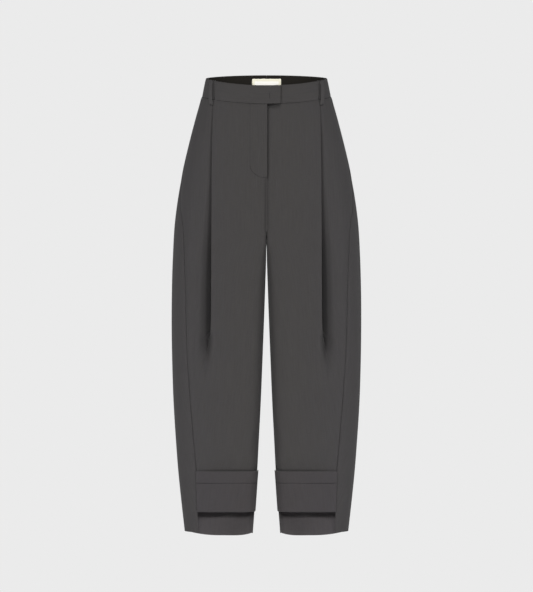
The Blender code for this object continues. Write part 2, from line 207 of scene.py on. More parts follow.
# The pleat of each front at each level, as in the solids
Pleat = namedtuple("Pleat", "down edge tuck depth ramp bulge radius opened spread")
PLEAT = (
    Pleat(0.042, 0.1240, 0.0300, 0.0040, 0.0060, 0.0000, 0.0009, 0.0, 0.0),
    Pleat(0.088, 0.1250, 0.0290, 0.0090, 0.0068, 0.0008, 0.0009, 0.0, 0.0),
    Pleat(0.130, 0.1265, 0.0270, 0.0135, 0.0082, 0.0020, 0.0009, 0.0, 0.0),
    Pleat(0.236, 0.1278, 0.0230, 0.0170, 0.0105, 0.0040, 0.0011, 0.0, 0.0),
    Pleat(0.330, 0.1280, 0.0200, 0.0240, 0.0195, 0.0045, 0.0015, 0.0, 0.0),
    Pleat(0.400, 0.1280, 0.0180, 0.0340, 0.0270, 0.0045, 0.0021, 0.0, 0.0),
    Pleat(0.468, 0.1281, 0.0150, 0.0430, 0.0295, 0.0045, 0.0028, 0.0, 0.0),
    Pleat(0.520, 0.1284, 0.0110, 0.0460, 0.0305, 0.0045, 0.0033, 0.0, 0.0),
    Pleat(0.560, 0.1290, 0.0070, 0.0445, 0.0310, 0.0043, 0.0035, 0.0, 0.0),
    Pleat(0.582, 0.1298, 0.0040, 0.0415, 0.0315, 0.0040, 0.0035, 0.2, 0.0),
    Pleat(0.600, 0.1308, 0.0020, 0.0350, 0.0320, 0.0036, 0.0035, 0.8, 0.0),
    Pleat(0.616, 0.1318, 0.0010, 0.0255, 0.0320, 0.0032, 0.0035, 1.0, 0.0),
    Pleat(0.634, 0.1326, 0.0000, 0.0155, 0.0325, 0.0026, 0.0035, 1.0, 0.1),
    Pleat(0.656, 0.1332, 0.0000, 0.0085, 0.0330, 0.0020, 0.0035, 1.0, 0.3),
    Pleat(0.682, 0.1334, 0.0000, 0.0040, 0.0330, 0.0014, 0.0035, 1.0, 0.5),
    Pleat(0.712, 0.1334, 0.0000, 0.0000, 0.0330, 0.0008, 0.0035, 1.0, 0.7),
    Pleat(0.780, 0.1334, 0.0000, 0.0000, 0.0330, 0.0000, 0.0035, 1.0, 1.0),
)
RISE_POWER = 1.6
HOLLOW_INNER = 0.30
HOLLOW_FLOOR = 0.22
OPEN_IN = 0.006
OPEN_OUT = 0.003
SPREAD_IN = 0.035
SPREAD_OUT = 0.5
PLEAT_CLEAR = 0.008

# Steps of the fold's stretches, each with the number of steps of the solid's that it spans
ARC_STEPS, ARC_SPAN = 7, 3
BACK_STEPS, BACK_SPAN = 6, 2
UNDER_STEPS, UNDER_SPAN = 4, 2
RISE_STEPS, RISE_SPAN = 16, 6

# Grids, and the upright inside each leg that its cloth faces away from
LEG_AXIS = 0.1
PANEL_STEP = 0.0052
FINE_STEPS = (0.0012, 0.0024, 0.0038)
CORNER = 0.0040
INNER_COLUMNS = 20
CENTRE_COLUMNS = 36
SIDE_COLUMNS = 30
BACK_COLUMNS = 66
BAND_ROWS = 14
BAND_COLUMNS = 300
CUFF_COLUMNS = 90

# Belt loops, with the grooves that they press in the band, and label
LOOP_WIDTH = 0.0115
LOOP_CLOTH = 0.0018
LOOP_EDGE = 0.0005
LOOP_TOP = 0.0015
LOOP_BOTTOM = 0.0540
LOOP_STAND = 0.0026
LOOP_HELD = 0.25
LOOP_ROWS = 36
LOOP_COLUMNS = 12
LOOP_LINE_IN = 0.0019
LOOP_LINE_DEPTH = 0.00025
LOOP_LINE_WIDTH = 0.0006
LOOP_ROUND_DEPTH = 0.0003
LOOP_ROUND_WIDTH = 0.0009
LOOP_GROOVE = 0.0044
LOOP_GROOVE_WIDTH = 0.0017
FRONT_LOOP = 0.1275
BACK_LOOP_SHARE = 0.74
END_LIFT = 0.0004
LABEL_WIDTH = 0.0680
LABEL_HEIGHT = 0.0280
LABEL_CLOTH = 0.0010
LABEL_TOP = 0.0080
LABEL_BORDER = 0.0058
LABEL_RIB = 0.0006
LABEL_CREAM = (0.94, 0.92, 0.87, 1.0)
LABEL_EDGE_CREAM = (0.86, 0.82, 0.66, 1.0)
LABEL_SHADE = (0.80, 0.77, 0.66, 1.0)

# Thread, with a stitch's places and its sizes there as shares of its length and radius
STITCH_LENGTH = 0.0024
STITCH_PITCH = 0.0031
STITCH_SHAPE = ((0.0, 0.35), (0.12, 0.85), (0.5, 1.0), (0.88, 0.85), (1.0, 0.35))
STITCH_SUNK = 0.6
STITCH_SIDES = 6
THREAD_RADIUS = 0.00022
CLOSE_PITCH = 0.0024
CLOSE_LENGTH = 0.0022
CURVE_THREAD = 0.00050
CUFF_THREAD = 0.00042
CUFF_THREAD_OUT = 0.0019
CUFF_THREAD_END = 0.002
TACK_PITCH = 0.0007
TACK_LIFT = 0.0001
LOOP_TACK_DOWN = 0.0549
LOOP_THREAD = 0.0012

# Soft folds of the cloth, each from one place to another. A place is a share of the panel's width
# from the centre or inseam, and a level. A height under 0 is a trough.
Crease = namedtuple("Crease", "panel side share down to_share to_down width height")
CREASES = (
    Crease("front", "both", 0.56, 0.740, 0.54, 0.900, 0.0070, 0.0009),
    Crease("front", "left", 0.36, 0.560, 0.38, 0.880, 0.0140, -0.0010),
    Crease("front", "right", 0.33, 0.600, 0.37, 0.860, 0.0150, -0.0011),
    Crease("front", "both", 0.22, 0.790, 0.30, 0.890, 0.0260, -0.0026),
    Crease("front", "left", 0.70, 0.760, 0.66, 0.890, 0.0120, -0.0009),
    Crease("front", "right", 0.72, 0.730, 0.67, 0.870, 0.0130, -0.0010),
    Crease("front", "left", 0.10, 0.330, 0.26, 0.410, 0.0110, -0.0012),
    Crease("front", "right", 0.10, 0.340, 0.25, 0.430, 0.0120, -0.0013),
    Crease("front", "left", 0.06, 0.300, 0.17, 0.268, 0.0090, -0.0009),
    Crease("front", "right", 0.06, 0.305, 0.18, 0.280, 0.0090, -0.0008),
    Crease("back", "left", 0.08, 0.330, 0.40, 0.420, 0.0140, -0.0026),
    Crease("back", "right", 0.08, 0.325, 0.42, 0.435, 0.0150, -0.0028),
    Crease("back", "left", 0.12, 0.368, 0.33, 0.500, 0.0120, -0.0018),
    Crease("back", "right", 0.11, 0.375, 0.30, 0.490, 0.0110, -0.0016),
    Crease("back", "both", 0.30, 0.480, 0.42, 0.820, 0.0200, -0.0019),
    Crease("back", "left", 0.58, 0.300, 0.55, 0.640, 0.0190, 0.0014),
    Crease("back", "right", 0.60, 0.330, 0.56, 0.600, 0.0180, 0.0015),
    Crease("back", "left", 0.20, 0.640, 0.52, 0.700, 0.0130, -0.0016),
    Crease("back", "right", 0.22, 0.665, 0.50, 0.715, 0.0140, -0.0015),
    Crease("back", "both", 0.62, 0.780, 0.58, 0.980, 0.0150, -0.0013),
    Crease("back", "left", 0.82, 0.420, 0.76, 0.800, 0.0160, -0.0012),
    Crease("back", "right", 0.80, 0.450, 0.75, 0.840, 0.0170, -0.0013),
)
CREASE_POWER = 1.3
DART_SHARE = 0.52
DART_END = 0.135
DART_WIDTH = 0.0016
DART_DEPTH = 0.0009


def eased(share):
    """0 to 1 with a soft start and end."""
    share = np.clip(share, 0.0, 1.0)
    return share * share * (3 - 2 * share)


def bump(distance, width):
    return np.exp(-((distance / width) ** 2))


def on_curve(rows, column, down):
    """A table's column at this level, on a smooth curve through its rows."""
    levels = np.array([row.down for row in rows])
    values = np.array([getattr(row, column) for row in rows])
    slopes = np.gradient(values, levels)
    k = int(np.clip(np.searchsorted(levels, down) - 1, 0, len(levels) - 2))
    step = levels[k + 1] - levels[k]
    t = (down - levels[k]) / step
    start = (1 + 2 * t) * (1 - t) ** 2 * values[k] + t * (1 - t) ** 2 * step * slopes[k]
    end = t * t * (3 - 2 * t) * values[k + 1] + t * t * (t - 1) * step * slopes[k + 1]
    return start + end


def on_lines(rows, column, down):
    """A table's column at this level, on straight lines between its rows."""
    return np.interp(down, [row.down for row in rows], [getattr(row, column) for row in rows])


def leg_share(down):
    """How far the section's middle has moved out to the leg's."""
    return eased((down - CROTCH + CROTCH_RISE) / (CROTCH_RISE + LEG_SETTLES))


def closed_share(down):
    """How far the section's inner side has closed round the leg."""
    sunk = min(max((down - CROTCH + CROTCH_RISE) / CROTCH_RISE, 0.0), 1.0)
    start = 3 * (CROTCH_RISE / (CROTCH_RISE + LEG_SETTLES)) ** 2
    return start * sunk**2 + (1 - start) * sunk**3


class Contour:
    """The outside of the cloth round the +X half of the body at one level, as in the solids.

    A length along it starts at the centre front, or at the inseam below the crotch.
    """

    PAST = math.radians(32)
    HALF_CLOSED = 0.5
    STEPS = 900

    def __init__(self, down):
        inner = max(on_curve(BODY, "half_gap", down), SEAM_GAP / 2)
        self.inner = inner
        width = on_curve(BODY, "half_width", down) - inner
        outer_radius = width / (1 + leg_share(down))
        middle = inner + width - outer_radius
        closed = closed_share(down)
        inner_radius = (middle - inner) / closed if closed > 0 else width
        outer_squareness, inner_squareness = (
            HIP_SQUARENESS + (square - HIP_SQUARENESS) * leg_share(down)
            for square in (LEG_SQUARENESS, on_lines(INNER_SIDE, "squareness", down))
        )
        centre = math.pi - math.acos(closed ** (inner_squareness / 2))
        past = self.PAST if closed < self.HALF_CLOSED else 0.0
        angle = np.linspace(centre + past, -centre - past, self.STEPS)
        cos, sin = np.cos(angle), np.sin(angle)
        reach = np.where(sin > 0, on_curve(BODY, "front", down), on_curve(BODY, "back", down))
        power = 2 / np.where(cos > 0, outer_squareness, inner_squareness)
        radius = np.where(cos > 0, outer_radius, inner_radius)
        self.x = middle + radius * np.sign(cos) * np.abs(cos) ** power
        self.y = -reach * np.sign(sin) * np.abs(sin) ** power
        lengths = np.hypot(np.diff(self.x), np.diff(self.y))
        along = np.concatenate([[0.0], np.cumsum(lengths)])
        self.along = along - np.interp(-centre, -angle, along)
        self.back = float(np.interp(centre, -angle, self.along))
        seam = math.radians(on_curve(BODY, "seam_degrees", down))
        self.seam = float(np.interp(-seam, -angle, self.along))
        dx, dy = np.gradient(self.x), np.gradient(self.y)
        size = np.hypot(dx, dy)
        self.out_x, self.out_y = dy / size, -dx / size
        self.z = -down - self.dip(down, cos, sin)

    @staticmethod
    def dip(down, cos, sin):
        """How much lower than its level each point lies."""
        fade = 1 - eased((down - BAND_HEIGHT) / (DIP_ENDS - BAND_HEIGHT))
        waist = np.where(sin > 0, FRONT_DIP, -BACK_RISE) * fade * sin**2
        share = max(down - FRONT_HEM, 0.0) / (SIDE_HEM - FRONT_HEM)
        hem = np.where(sin < 0, BACK_HEM_DROP, 0.0) * sin**2 + INNER_HEM_DROP * (1 - cos) / 2
        return waist + share * hem

    def at(self, along, out=0.0):
        """Points this far along and this far outside the cloth, one in each row."""
        x = np.interp(along, self.along, self.x) + out * np.interp(along, self.along, self.out_x)
        y = np.interp(along, self.along, self.y) + out * np.interp(along, self.along, self.out_y)
        return np.stack([x, y, np.interp(along, self.along, self.z)], axis=-1)

    def at_width(self, width):
        """The length along at which the front reaches this far across the body."""
        front = (self.y < 0) & (self.along > -SEAM_GAP)
        return float(np.interp(width, self.x[front], self.along[front]))

    def back_corner(self):
        """The length along at which the back turns in to the centre seam or the inner side."""
        back = (self.y > 0) & (self.along < self.back + SEAM_GAP)
        return float(np.interp(self.inner + CORNER, self.x[back][::-1], self.along[back][::-1]))


def levels(first, last, step):
    return np.linspace(first, last, round((last - first) / step) + 1)


def on_side(points, turn):
    """The points on the side that they were made for, or on the other one where turn is -1."""
    return points * np.array((turn, 1.0, 1.0))


def on_cloth(across, down):
    """A row's places on its cloth."""
    return np.stack([across, np.full_like(across, down)], axis=-1)


def folded(tuck, depth, ramp, radius):
    """The line of the cloth through the pleat, with the place of each point in the flat cloth.

    It turns back under the edge, runs in by the tuck, turns out again and rises to the side.
    """
    first = np.array((-radius, -radius))
    second = np.array((-radius - tuck, radius - depth))
    across = second - first
    lean = math.acos(min(2 * radius / np.hypot(*across), 1.0))
    leave = math.atan2(across[1], across[0]) + lean

    def arc(middle, start, end):
        turn = np.linspace(start, end, ARC_STEPS + 1)
        return middle + radius * np.stack([np.cos(turn), np.sin(turn)], axis=-1)

    def line(start, end, steps):
        share = np.linspace(0, 1, steps + 1)[1:-1, None]
        return start + share * (end - start)

    over = arc(first, math.pi / 2, leave)
    under = arc(second, leave + math.pi, 1.5 * math.pi)
    share = np.linspace(0, 1, RISE_STEPS + 1)
    rise = np.stack([share * ramp, -depth * (1 - share) ** RISE_POWER], axis=-1)
    back = line(over[-1], under[0], BACK_STEPS)
    beneath = line(under[-1], rise[0], UNDER_STEPS)
    spans = (
        (ARC_STEPS, ARC_SPAN),
        (BACK_STEPS, BACK_SPAN),
        (ARC_STEPS, ARC_SPAN),
        (UNDER_STEPS, UNDER_SPAN),
        (RISE_STEPS, RISE_SPAN),
    )
    places = np.cumsum([0.0] + [span / steps for steps, span in spans for _ in range(steps)])
    return np.concatenate([over, back, under, beneath, rise]), places / places[-1]


def hollow(place):
    """The shape of the opened fold's soft hollow, where 0 is the fold's edge and 1 the far rim."""
    sinks = eased((place + HOLLOW_INNER) / (HOLLOW_INNER + HOLLOW_FLOOR))
    left = np.clip((1 - place) / (1 - HOLLOW_FLOOR), 0.0, 1.0)
    return sinks * left**RISE_POWER


def fly_lift(down):
    """How far the lapping front's edge stands off, so that it clears the other front."""
    return (CLOTH + SEAM_GAP) * (1 - eased((down - FLY_BOTTOM) / FLY_FADE))


def front_path(contour, down, laps):
    """Along and out of a front's columns, from the centre or inseam to the side seam."""
    edge = contour.at_width(on_lines(PLEAT, "edge", down))
    end = contour.seam - SEAM_GAP / 2
    tuck, depth, ramp, radius = (
        on_lines(PLEAT, column, down) for column in ("tuck", "depth", "ramp", "radius")
    )
    fold, places = folded(tuck, depth, ramp, radius)
    spread = eased(on_lines(PLEAT, "spread", down))
    first = -OPEN_IN - spread * (SPREAD_IN - OPEN_IN)
    last = ramp + OPEN_OUT + spread * (SPREAD_OUT * (end - edge) - ramp - OPEN_OUT)
    flat = first + places * (last - first)
    flat = np.stack([flat, -depth * hollow(flat / ramp)], axis=-1)
    opened = eased(on_lines(PLEAT, "opened", down))
    fold = (1 - opened) * fold + opened * flat
    fold[:, 0] += edge
    start = SEAM_GAP / 2 if down >= CROTCH else 0.0
    if laps and down < FLY_BOTTOM:
        start = -FLY_REACH
    lift = fly_lift(down) if laps else 0.0
    corner = contour.at_width(contour.inner + CORNER)
    inner = np.linspace(start, corner, INNER_COLUMNS, endpoint=False)
    centre = np.linspace(corner, fold[0, 0], CENTRE_COLUMNS, endpoint=False)
    centre = np.concatenate([inner, centre])
    lifted = lift * eased(1 - (centre - start) / FLY_RAMP)
    share = np.linspace(0, 1, SIDE_COLUMNS + 1)[1:]
    side = fold[-1, 0] + share * (end - fold[-1, 0])
    bulged = on_lines(PLEAT, "bulge", down) * np.sin(math.pi * share)
    along = np.concatenate([centre, fold[:, 0], side])
    out = np.concatenate([lifted, fold[:, 1], bulged])
    return along, out


def crease_relief(panel, side, share, down, width):
    """How far the soft folds lift each point of a row."""
    relief = np.zeros_like(share)
    for crease in CREASES:
        if crease.panel != panel or crease.side not in ("both", side):
            continue
        across = (crease.to_share - crease.share) * width
        drop = crease.to_down - crease.down
        x, y = (share - crease.share) * width, down - crease.down
        length = math.hypot(across, drop)
        t = (x * across + y * drop) / length**2
        away = (x * drop - y * across) / length
        ends = np.sin(math.pi * np.clip(t, 0.0, 1.0)) ** CREASE_POWER
        relief += crease.height * bump(away, crease.width) * ends
    return relief


def seam_roll(distance):
    """How far the cloth sinks beside a seam."""
    return -ROLL_DEPTH * bump(distance, ROLL_WIDTH)


def centre_roll(contour, distance, place):
    """The roll beside the centre seam, which fades where the seam turns under."""
    sideways = abs(float(np.interp(place, contour.along, contour.out_x)))
    return seam_roll(distance) * max(1 - ROLL_FADE * sideways, 0.0)


def met_edge(contour, place):
    """How far out the middle of the cloth lies where both halves' outsides meet at the centre."""
    sideways = abs(float(np.interp(place, contour.along, contour.out_x)))
    return CLOTH / 2 * sideways * SEAM_TURN - SEAM_MEETS


def closed_legs(points, down):
    """The row with its inner side moved in, so that both legs touch above the visible gap."""
    off = points[:, 0] - points[0, 0]
    share = eased((down - CROTCH) / LEGS_PRESS_START + 1)
    share *= 1 - eased((down - LEGS_TOUCH) / LEGS_PART)
    pressed = off * (1 - eased(off / LEGS_PRESS))
    closed = bump(off, LEGS_TOUCH_WIDTH) * (points[0, 0] - CLOTH / 2 + SEAM_MEETS)
    points[:, 0] -= share * (pressed + (closed if down >= CROTCH else 0))
    return points


def softened_crotch(points, rows):
    """The grid with the turn at the crotch's level smoothed, away from the seams' own edge."""
    count = max(int(CROTCH_SOFT / 2 / PANEL_STEP), 2)
    weights = np.hanning(2 * count + 3)[1:-1]
    weights /= weights.sum()
    padded = np.pad(points, ((count, count), (0, 0), (0, 0)), mode="edge")
    smooth = sum(w * padded[k : k + len(points)] for k, w in enumerate(weights))
    near = 1 - eased(np.abs(rows - CROTCH) / CROTCH_SOFT)
    first = points[:, :1, :]
    away = eased(np.linalg.norm(points - first, axis=2) / CROTCH_EDGE)
    share = (near[:, None] * away)[..., None]
    return points + share * (smooth - points)


def cuff_trough(share, down):
    """How far a front sinks above its cuff and behind the cuff's top edge, so that it is shaded."""
    trough = CUFF_TROUGH * bump(down - CUFF_TOP + CUFF_TROUGH_HEIGHT / 2, CUFF_TROUGH_HEIGHT)
    trough += CUFF_NICK * bump(down - CUFF_TOP, CUFF_NICK_HEIGHT)
    return trough * np.sin(math.pi * np.clip(share, 0, 1)) ** CUFF_TROUGH_POWER


def lapped_hollow(along, down, top):
    """How far the left front sinks beside the fly's edge and under the tab, which shade it."""
    slit = SLIT_DEPTH * bump(along - FLY_REACH - SLIT_WIDTH, SLIT_WIDTH)
    slit *= eased((down - top) / SLIT_RAMP) * (1 - eased((down - FLY_BOTTOM) / FLY_FADE))
    hollowed = TAB_HOLLOW * bump(down - top, TAB_HOLLOW_HEIGHT)
    hollowed *= 1 - eased((along - TAB_REACH + TAB_HOLLOW_SHORT) / TAB_HOLLOW_FADE)
    return slit + hollowed


def front_relief(side, contour, along, down, top):
    """How far each point of a front's row lies outside its plain form."""
    share = along / contour.seam
    opened = eased(on_lines(PLEAT, "opened", down))
    edge = contour.at_width(on_lines(PLEAT, "edge", down))
    relief = crease_relief("front", side, share, down, contour.seam) + seam_roll(down - top)
    relief -= cuff_trough(share, down)
    relief *= 1 - (1 - opened) * bump(along - edge, PLEAT_CLEAR)
    lapping = fly_lift(down) / (CLOTH + SEAM_GAP) if side == "right" else 0.0
    if side == "left":
        relief -= lapped_hollow(along, down, top)
    relief += SIDE_ROLL * seam_roll(contour.seam - along)
    relief += centre_roll(contour, along, 0.0) * (1 - lapping)
    starts = eased((down - FLY_BOTTOM + FLY_FADE) / VALLEY_START)
    ends = eased((down - CROTCH) / VALLEY_END + 1)
    return relief - VALLEY_DEPTH * bump(along, VALLEY_WIDTH) * starts * (1 - ends)


def front_grid(side):
    """The middle surface of a front, and each point's place on the cloth."""
    laps = side == "right"
    top = BAND_HEIGHT + BAND_SEAM
    below_band = [top + drop for drop in FINE_STEPS]
    above_cuff = [CUFF_TOP - drop for drop in FINE_STEPS]
    rows = np.union1d(levels(top, FRONT_HEM, PANEL_STEP), below_band + above_cuff)
    points, places = [], []
    for down in rows:
        contour = Contour(down)
        along, out = front_path(contour, down, laps)
        relief = front_relief(side, contour, along, down, top)
        row = contour.at(along, out + relief - CLOTH / 2)
        if not laps:
            sag = 1 - eased((down - top) / TAB_SAG_FADE)
            row[:, 2] -= TAB_SAG * np.clip(1 - along / TAB_REACH, 0.0, 1.0) * sag
        row = closed_legs(row, down)
        if down < CROTCH and (down >= FLY_BOTTOM or not laps):
            row[0, 0] = met_edge(contour, 0.0)
        run = np.concatenate([[0.0], np.cumsum(np.linalg.norm(np.diff(row, axis=0), axis=1))])
        points.append(row)
        places.append(on_cloth(run, down))
    return softened_crotch(np.array(points), rows), np.array(places)


def back_grid(side):
    """The middle surface of a back, from the centre or inseam to the side seam."""
    rows = levels(BAND_HEIGHT + BAND_SEAM, FRONT_HEM, PANEL_STEP)
    rows = np.concatenate([rows, levels(FRONT_HEM, SIDE_HEM, PANEL_STEP)[1:]])
    points, places = [], []
    for down in rows:
        contour = Contour(down)
        end = contour.back - (SEAM_GAP / 2 if down >= CROTCH else 0.0)
        width = contour.back - contour.seam
        corner = contour.back_corner()
        inner = np.linspace(end, corner, INNER_COLUMNS, endpoint=False)
        outer = np.linspace(corner, contour.seam + SEAM_GAP / 2, BACK_COLUMNS + 1)
        along = np.concatenate([inner, outer])
        run = end - along
        share = run / width
        from_seam = along - contour.seam
        relief = crease_relief("back", side, share, down, width)
        relief += seam_roll(down - rows[0]) + SIDE_ROLL * seam_roll(from_seam)
        relief += centre_roll(contour, run, end)
        relief += ALLOWANCE_RISE * (1 - eased((from_seam - ALLOWANCE) / ALLOWANCE_EDGE + 0.5))
        dart = (share - DART_SHARE) * width
        fade = 1 - eased((down - BAND_HEIGHT) / (DART_END - BAND_HEIGHT))
        relief -= DART_DEPTH * bump(dart, DART_WIDTH) * fade
        row = closed_legs(contour.at(along, relief - CLOTH / 2), down)
        if down < CROTCH:
            row[0, 0] = met_edge(contour, end)
        points.append(row)
        places.append(on_cloth(run, down))
    return softened_crotch(np.array(points), rows), np.array(places)


def in_scene(name, data):
    obj = bpy.data.objects.new(name, data)
    bpy.context.scene.collection.objects.link(obj)
    return obj


def cloth_mesh(name, points, places, axis_x):
    """A mesh of quads over a grid, facing away from the hollow round the upright at axis_x."""
    count, columns = points.shape[:2]
    index = np.arange(count * columns).reshape(count, columns)
    quads = np.stack([index[:-1, :-1], index[:-1, 1:], index[1:, 1:], index[1:, :-1]], axis=-1)
    quads = quads.reshape(-1, 4)
    flat = points.reshape(-1, 3)
    corners = flat[quads]
    normals = np.cross(corners[:, 1] - corners[:, 0], corners[:, 2] - corners[:, 0])
    outward = corners.mean(axis=1) - np.array((axis_x, 0.0, 0.0))
    if (normals[:, :2] * outward[:, :2]).sum() < 0:
        quads = quads[:, ::-1]
    mesh = bpy.data.meshes.new(name)
    mesh.from_pydata(flat.tolist(), [], quads.tolist())
    layer = mesh.uv_layers.new(name="cloth")
    layer.data.foreach_set("uv", places.reshape(-1, 2)[quads.reshape(-1)].ravel())
    return mesh


def settled(obj):
    """The object with its modifiers applied and its sharp edges marked."""
    graph = bpy.context.evaluated_depsgraph_get()
    mesh = bpy.data.meshes.new_from_object(obj.evaluated_get(graph))
    obj.modifiers.clear()
    obj.data = mesh
    mesh.shade_smooth()
    mesh.set_sharp_from_angle(angle=SHARP_ANGLE)
    return obj


def cloth(name, points, places, thickness, materials, axis_x=0.0, edge=CLOTH_EDGE):
    """A thin shell of cloth over a grid, with rounded edges. A second material is its inside's."""
    obj = in_scene(name, cloth_mesh(name, points, places, axis_x))
    for material in materials:
        obj.data.materials.append(material)
    solidify = obj.modifiers.new("thickness", "SOLIDIFY")
    solidify.thickness = thickness
    solidify.offset = 0.0
    solidify.material_offset = len(materials) - 1
    bevel = obj.modifiers.new("edge", "BEVEL")
    bevel.width = edge
    bevel.segments = 2
    bevel.limit_method = "ANGLE"
    bevel.angle_limit = ROUNDED_ANGLE
    return settled(obj)


def cut_size(points):
    """The width, length and area of the cloth of a grid, laid flat."""
    across = np.linalg.norm(np.diff(points, axis=1), axis=2)
    down = np.linalg.norm(np.diff(points, axis=0), axis=2)
    width, length = across.sum(axis=1), down.sum(axis=0)
    area = (across[:-1] * (down[:, :-1] + down[:, 1:]) / 2).sum()
    return float(width.max()), float(length.max()), float(area)


def hung_sheet(obj, points):
    width, length, area = cut_size(points)
    area = min(area, width * length)


def dressed(obj, slot, *nodes):
    """Places a piece in the part, in place of its solids."""
    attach(obj, "root")
    if nodes:
        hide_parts(*nodes)
    return obj


class Shader:
    """Short ways to make and join a material's nodes."""

    def __init__(self, name):
        self.material = bpy.data.materials.new(name)
        self.material.use_nodes = True
        self.tree = self.material.node_tree
        self.principled = self.tree.nodes["Principled BSDF"]

    def node(self, kind, inputs=None, **settings):
        made = self.tree.nodes.new("ShaderNode" + kind)
        for key, value in settings.items():
            setattr(made, key, value)
        for key, value in (inputs or {}).items():
            self.put(made.inputs[key], value)
        return made

    def put(self, socket, value):
        if isinstance(value, bpy.types.NodeSocket):
            self.tree.links.new(value, socket)
        else:
            socket.default_value = value

    def surface(self, inputs):
        for name, value in inputs.items():
            self.put(self.principled.inputs[name], value)

    def maths(self, operation, first, second=0.0):
        return self.node("Math", {0: first, 1: second}, operation=operation).outputs[0]

    def times(self, first, second):
        return self.maths("MULTIPLY", first, second)

    def added(self, first, *others):
        for other in others:
            first = self.maths("ADD", first, other)
        return first

    def at(self):
        return self.node("TexCoord").outputs["Object"]

    def parts(self, vector):
        return self.node("SeparateXYZ", {0: vector}).outputs

    def bumped(self, strength, depth, height):
        return self.node("Bump", {"Strength": strength, "Distance": depth, "Height": height}).outputs[0]

    def mixed(self, factor, first, second, blend="MIX"):
        inputs = {"Factor": factor, 6: first, 7: second}
        return self.node("Mix", inputs, data_type="RGBA", blend_type=blend).outputs[2]

    def scaled(self, vector, scale):
        return self.node("Mapping", {"Vector": vector, "Scale": scale}).outputs[0]

    def noise(self, vector, scale, detail=2.0, roughness=0.5):
        inputs = {"Vector": vector, "Scale": scale, "Detail": detail, "Roughness": roughness}
        return self.node("TexNoise", inputs).outputs["Fac"]

    def ranged(self, value, low, high, to_low=0.0, to_high=1.0):
        inputs = {0: value, 1: low, 2: high, 3: to_low, 4: to_high}
        return self.node("MapRange", inputs).outputs[0]


TWILL_PERIOD = 0.0011
TWILL_SLOPE = 1.6
YARN = 0.0005


def wool(name, warm, cool, sheen=0.06):
    """A fine matte wool twill: diagonal lines, uneven yarns, and a second tint towards the sides."""
    s = Shader(name)
    place, at = s.node("UVMap", uv_map="cloth").outputs[0], s.at()
    across, down = s.parts(place)[:2]
    slanted = s.added(across, s.times(down, TWILL_SLOPE))
    phase = s.added(s.times(slanted, 1 / TWILL_PERIOD), s.times(s.noise(at, 260.0, 1.0), 0.8))
    twill = s.maths("SINE", s.times(phase, 2 * math.pi))
    warp = s.noise(s.scaled(place, (1 / YARN, 40.0, 1.0)), 1.0, 1.0)
    weft = s.noise(s.scaled(place, (60.0, 1 / YARN, 1.0)), 1.0, 1.0)
    fuzz = s.noise(at, 1900.0, 3.0, 0.7)
    streaks = s.noise(s.scaled(place, (340.0, 14.0, 1.0)), 1.0, 3.0, 0.6)
    clouds = s.noise(s.scaled(place, (90.0, 26.0, 1.0)), 1.0, 4.0, 0.65)
    aside = s.ranged(s.maths("ABSOLUTE", s.parts(at)[0]), 0.06, 0.17, 0.0, 0.7)
    cooler = s.added(s.ranged(clouds, 0.3, 0.7, -0.2, 0.5), aside)
    tint = s.mixed(s.ranged(cooler, 0.0, 1.0), (*warm, 1.0), (*cool, 1.0))
    yarns = s.added(s.times(warp, 0.5), s.times(weft, 0.5))
    shade = s.added(
        s.ranged(yarns, 0.3, 0.7, -0.12, 0.12),
        s.ranged(fuzz, 0.3, 0.7, -0.06, 0.06),
        s.ranged(streaks, 0.3, 0.7, -0.055, 0.055),
        s.times(twill, 0.025),
        1.0,
    )
    grey = s.node("CombineColor", {0: shade, 1: shade, 2: shade}).outputs[0]
    height = s.added(s.times(twill, 0.25), s.times(yarns, 0.9), s.times(fuzz, 0.6))
    s.surface(
        {
            "Base Color": s.mixed(1.0, tint, grey, "MULTIPLY"),
            "Normal": s.bumped(0.35, 0.00012, height),
            "Roughness": s.ranged(yarns, 0.3, 0.7, 0.8, 0.95),
            "Specular IOR Level": 0.12,
            "Sheen Weight": sheen,
            "Sheen Roughness": 0.5,
        }
    )
    return s.material


def thread(name, colour):
    """Twisted sewing thread."""
    s = Shader(name)
    lit = [1.35 * c for c in colour]
    twisted = s.mixed(s.noise(s.at(), 2600.0, 1.0), (*colour, 1.0), (*lit, 1.0))
    s.surface({"Base Color": twisted, "Roughness": 0.6, "Specular IOR Level": 0.2})
    return s.material


def satin_label():
    """A blank cream label with a woven border."""
    s = Shader("label_satin")
    across, down = s.parts(s.node("UVMap", uv_map="cloth").outputs[0])[:2]
    side = s.maths("SUBTRACT", LABEL_WIDTH / 2, s.maths("ABSOLUTE", across))
    top = s.maths("SUBTRACT", LABEL_HEIGHT / 2, s.maths("ABSOLUTE", down))
    border = s.maths("LESS_THAN", s.maths("MINIMUM", side, top), LABEL_BORDER)
    ribs = s.maths("SINE", s.times(down, 2 * math.pi / LABEL_RIB))
    uneven = s.noise(s.at(), 420.0, 2.0)
    colour = s.mixed(border, LABEL_CREAM, LABEL_EDGE_CREAM)
    colour = s.mixed(s.ranged(uneven, 0.3, 0.7, 0.0, 0.12), colour, LABEL_SHADE)
    bumped = s.bumped(0.3, 0.00008, s.added(ribs, uneven))
    s.surface({"Base Color": colour, "Normal": bumped, "Roughness": 0.45, "Sheen Weight": 0.2})
    return s.material


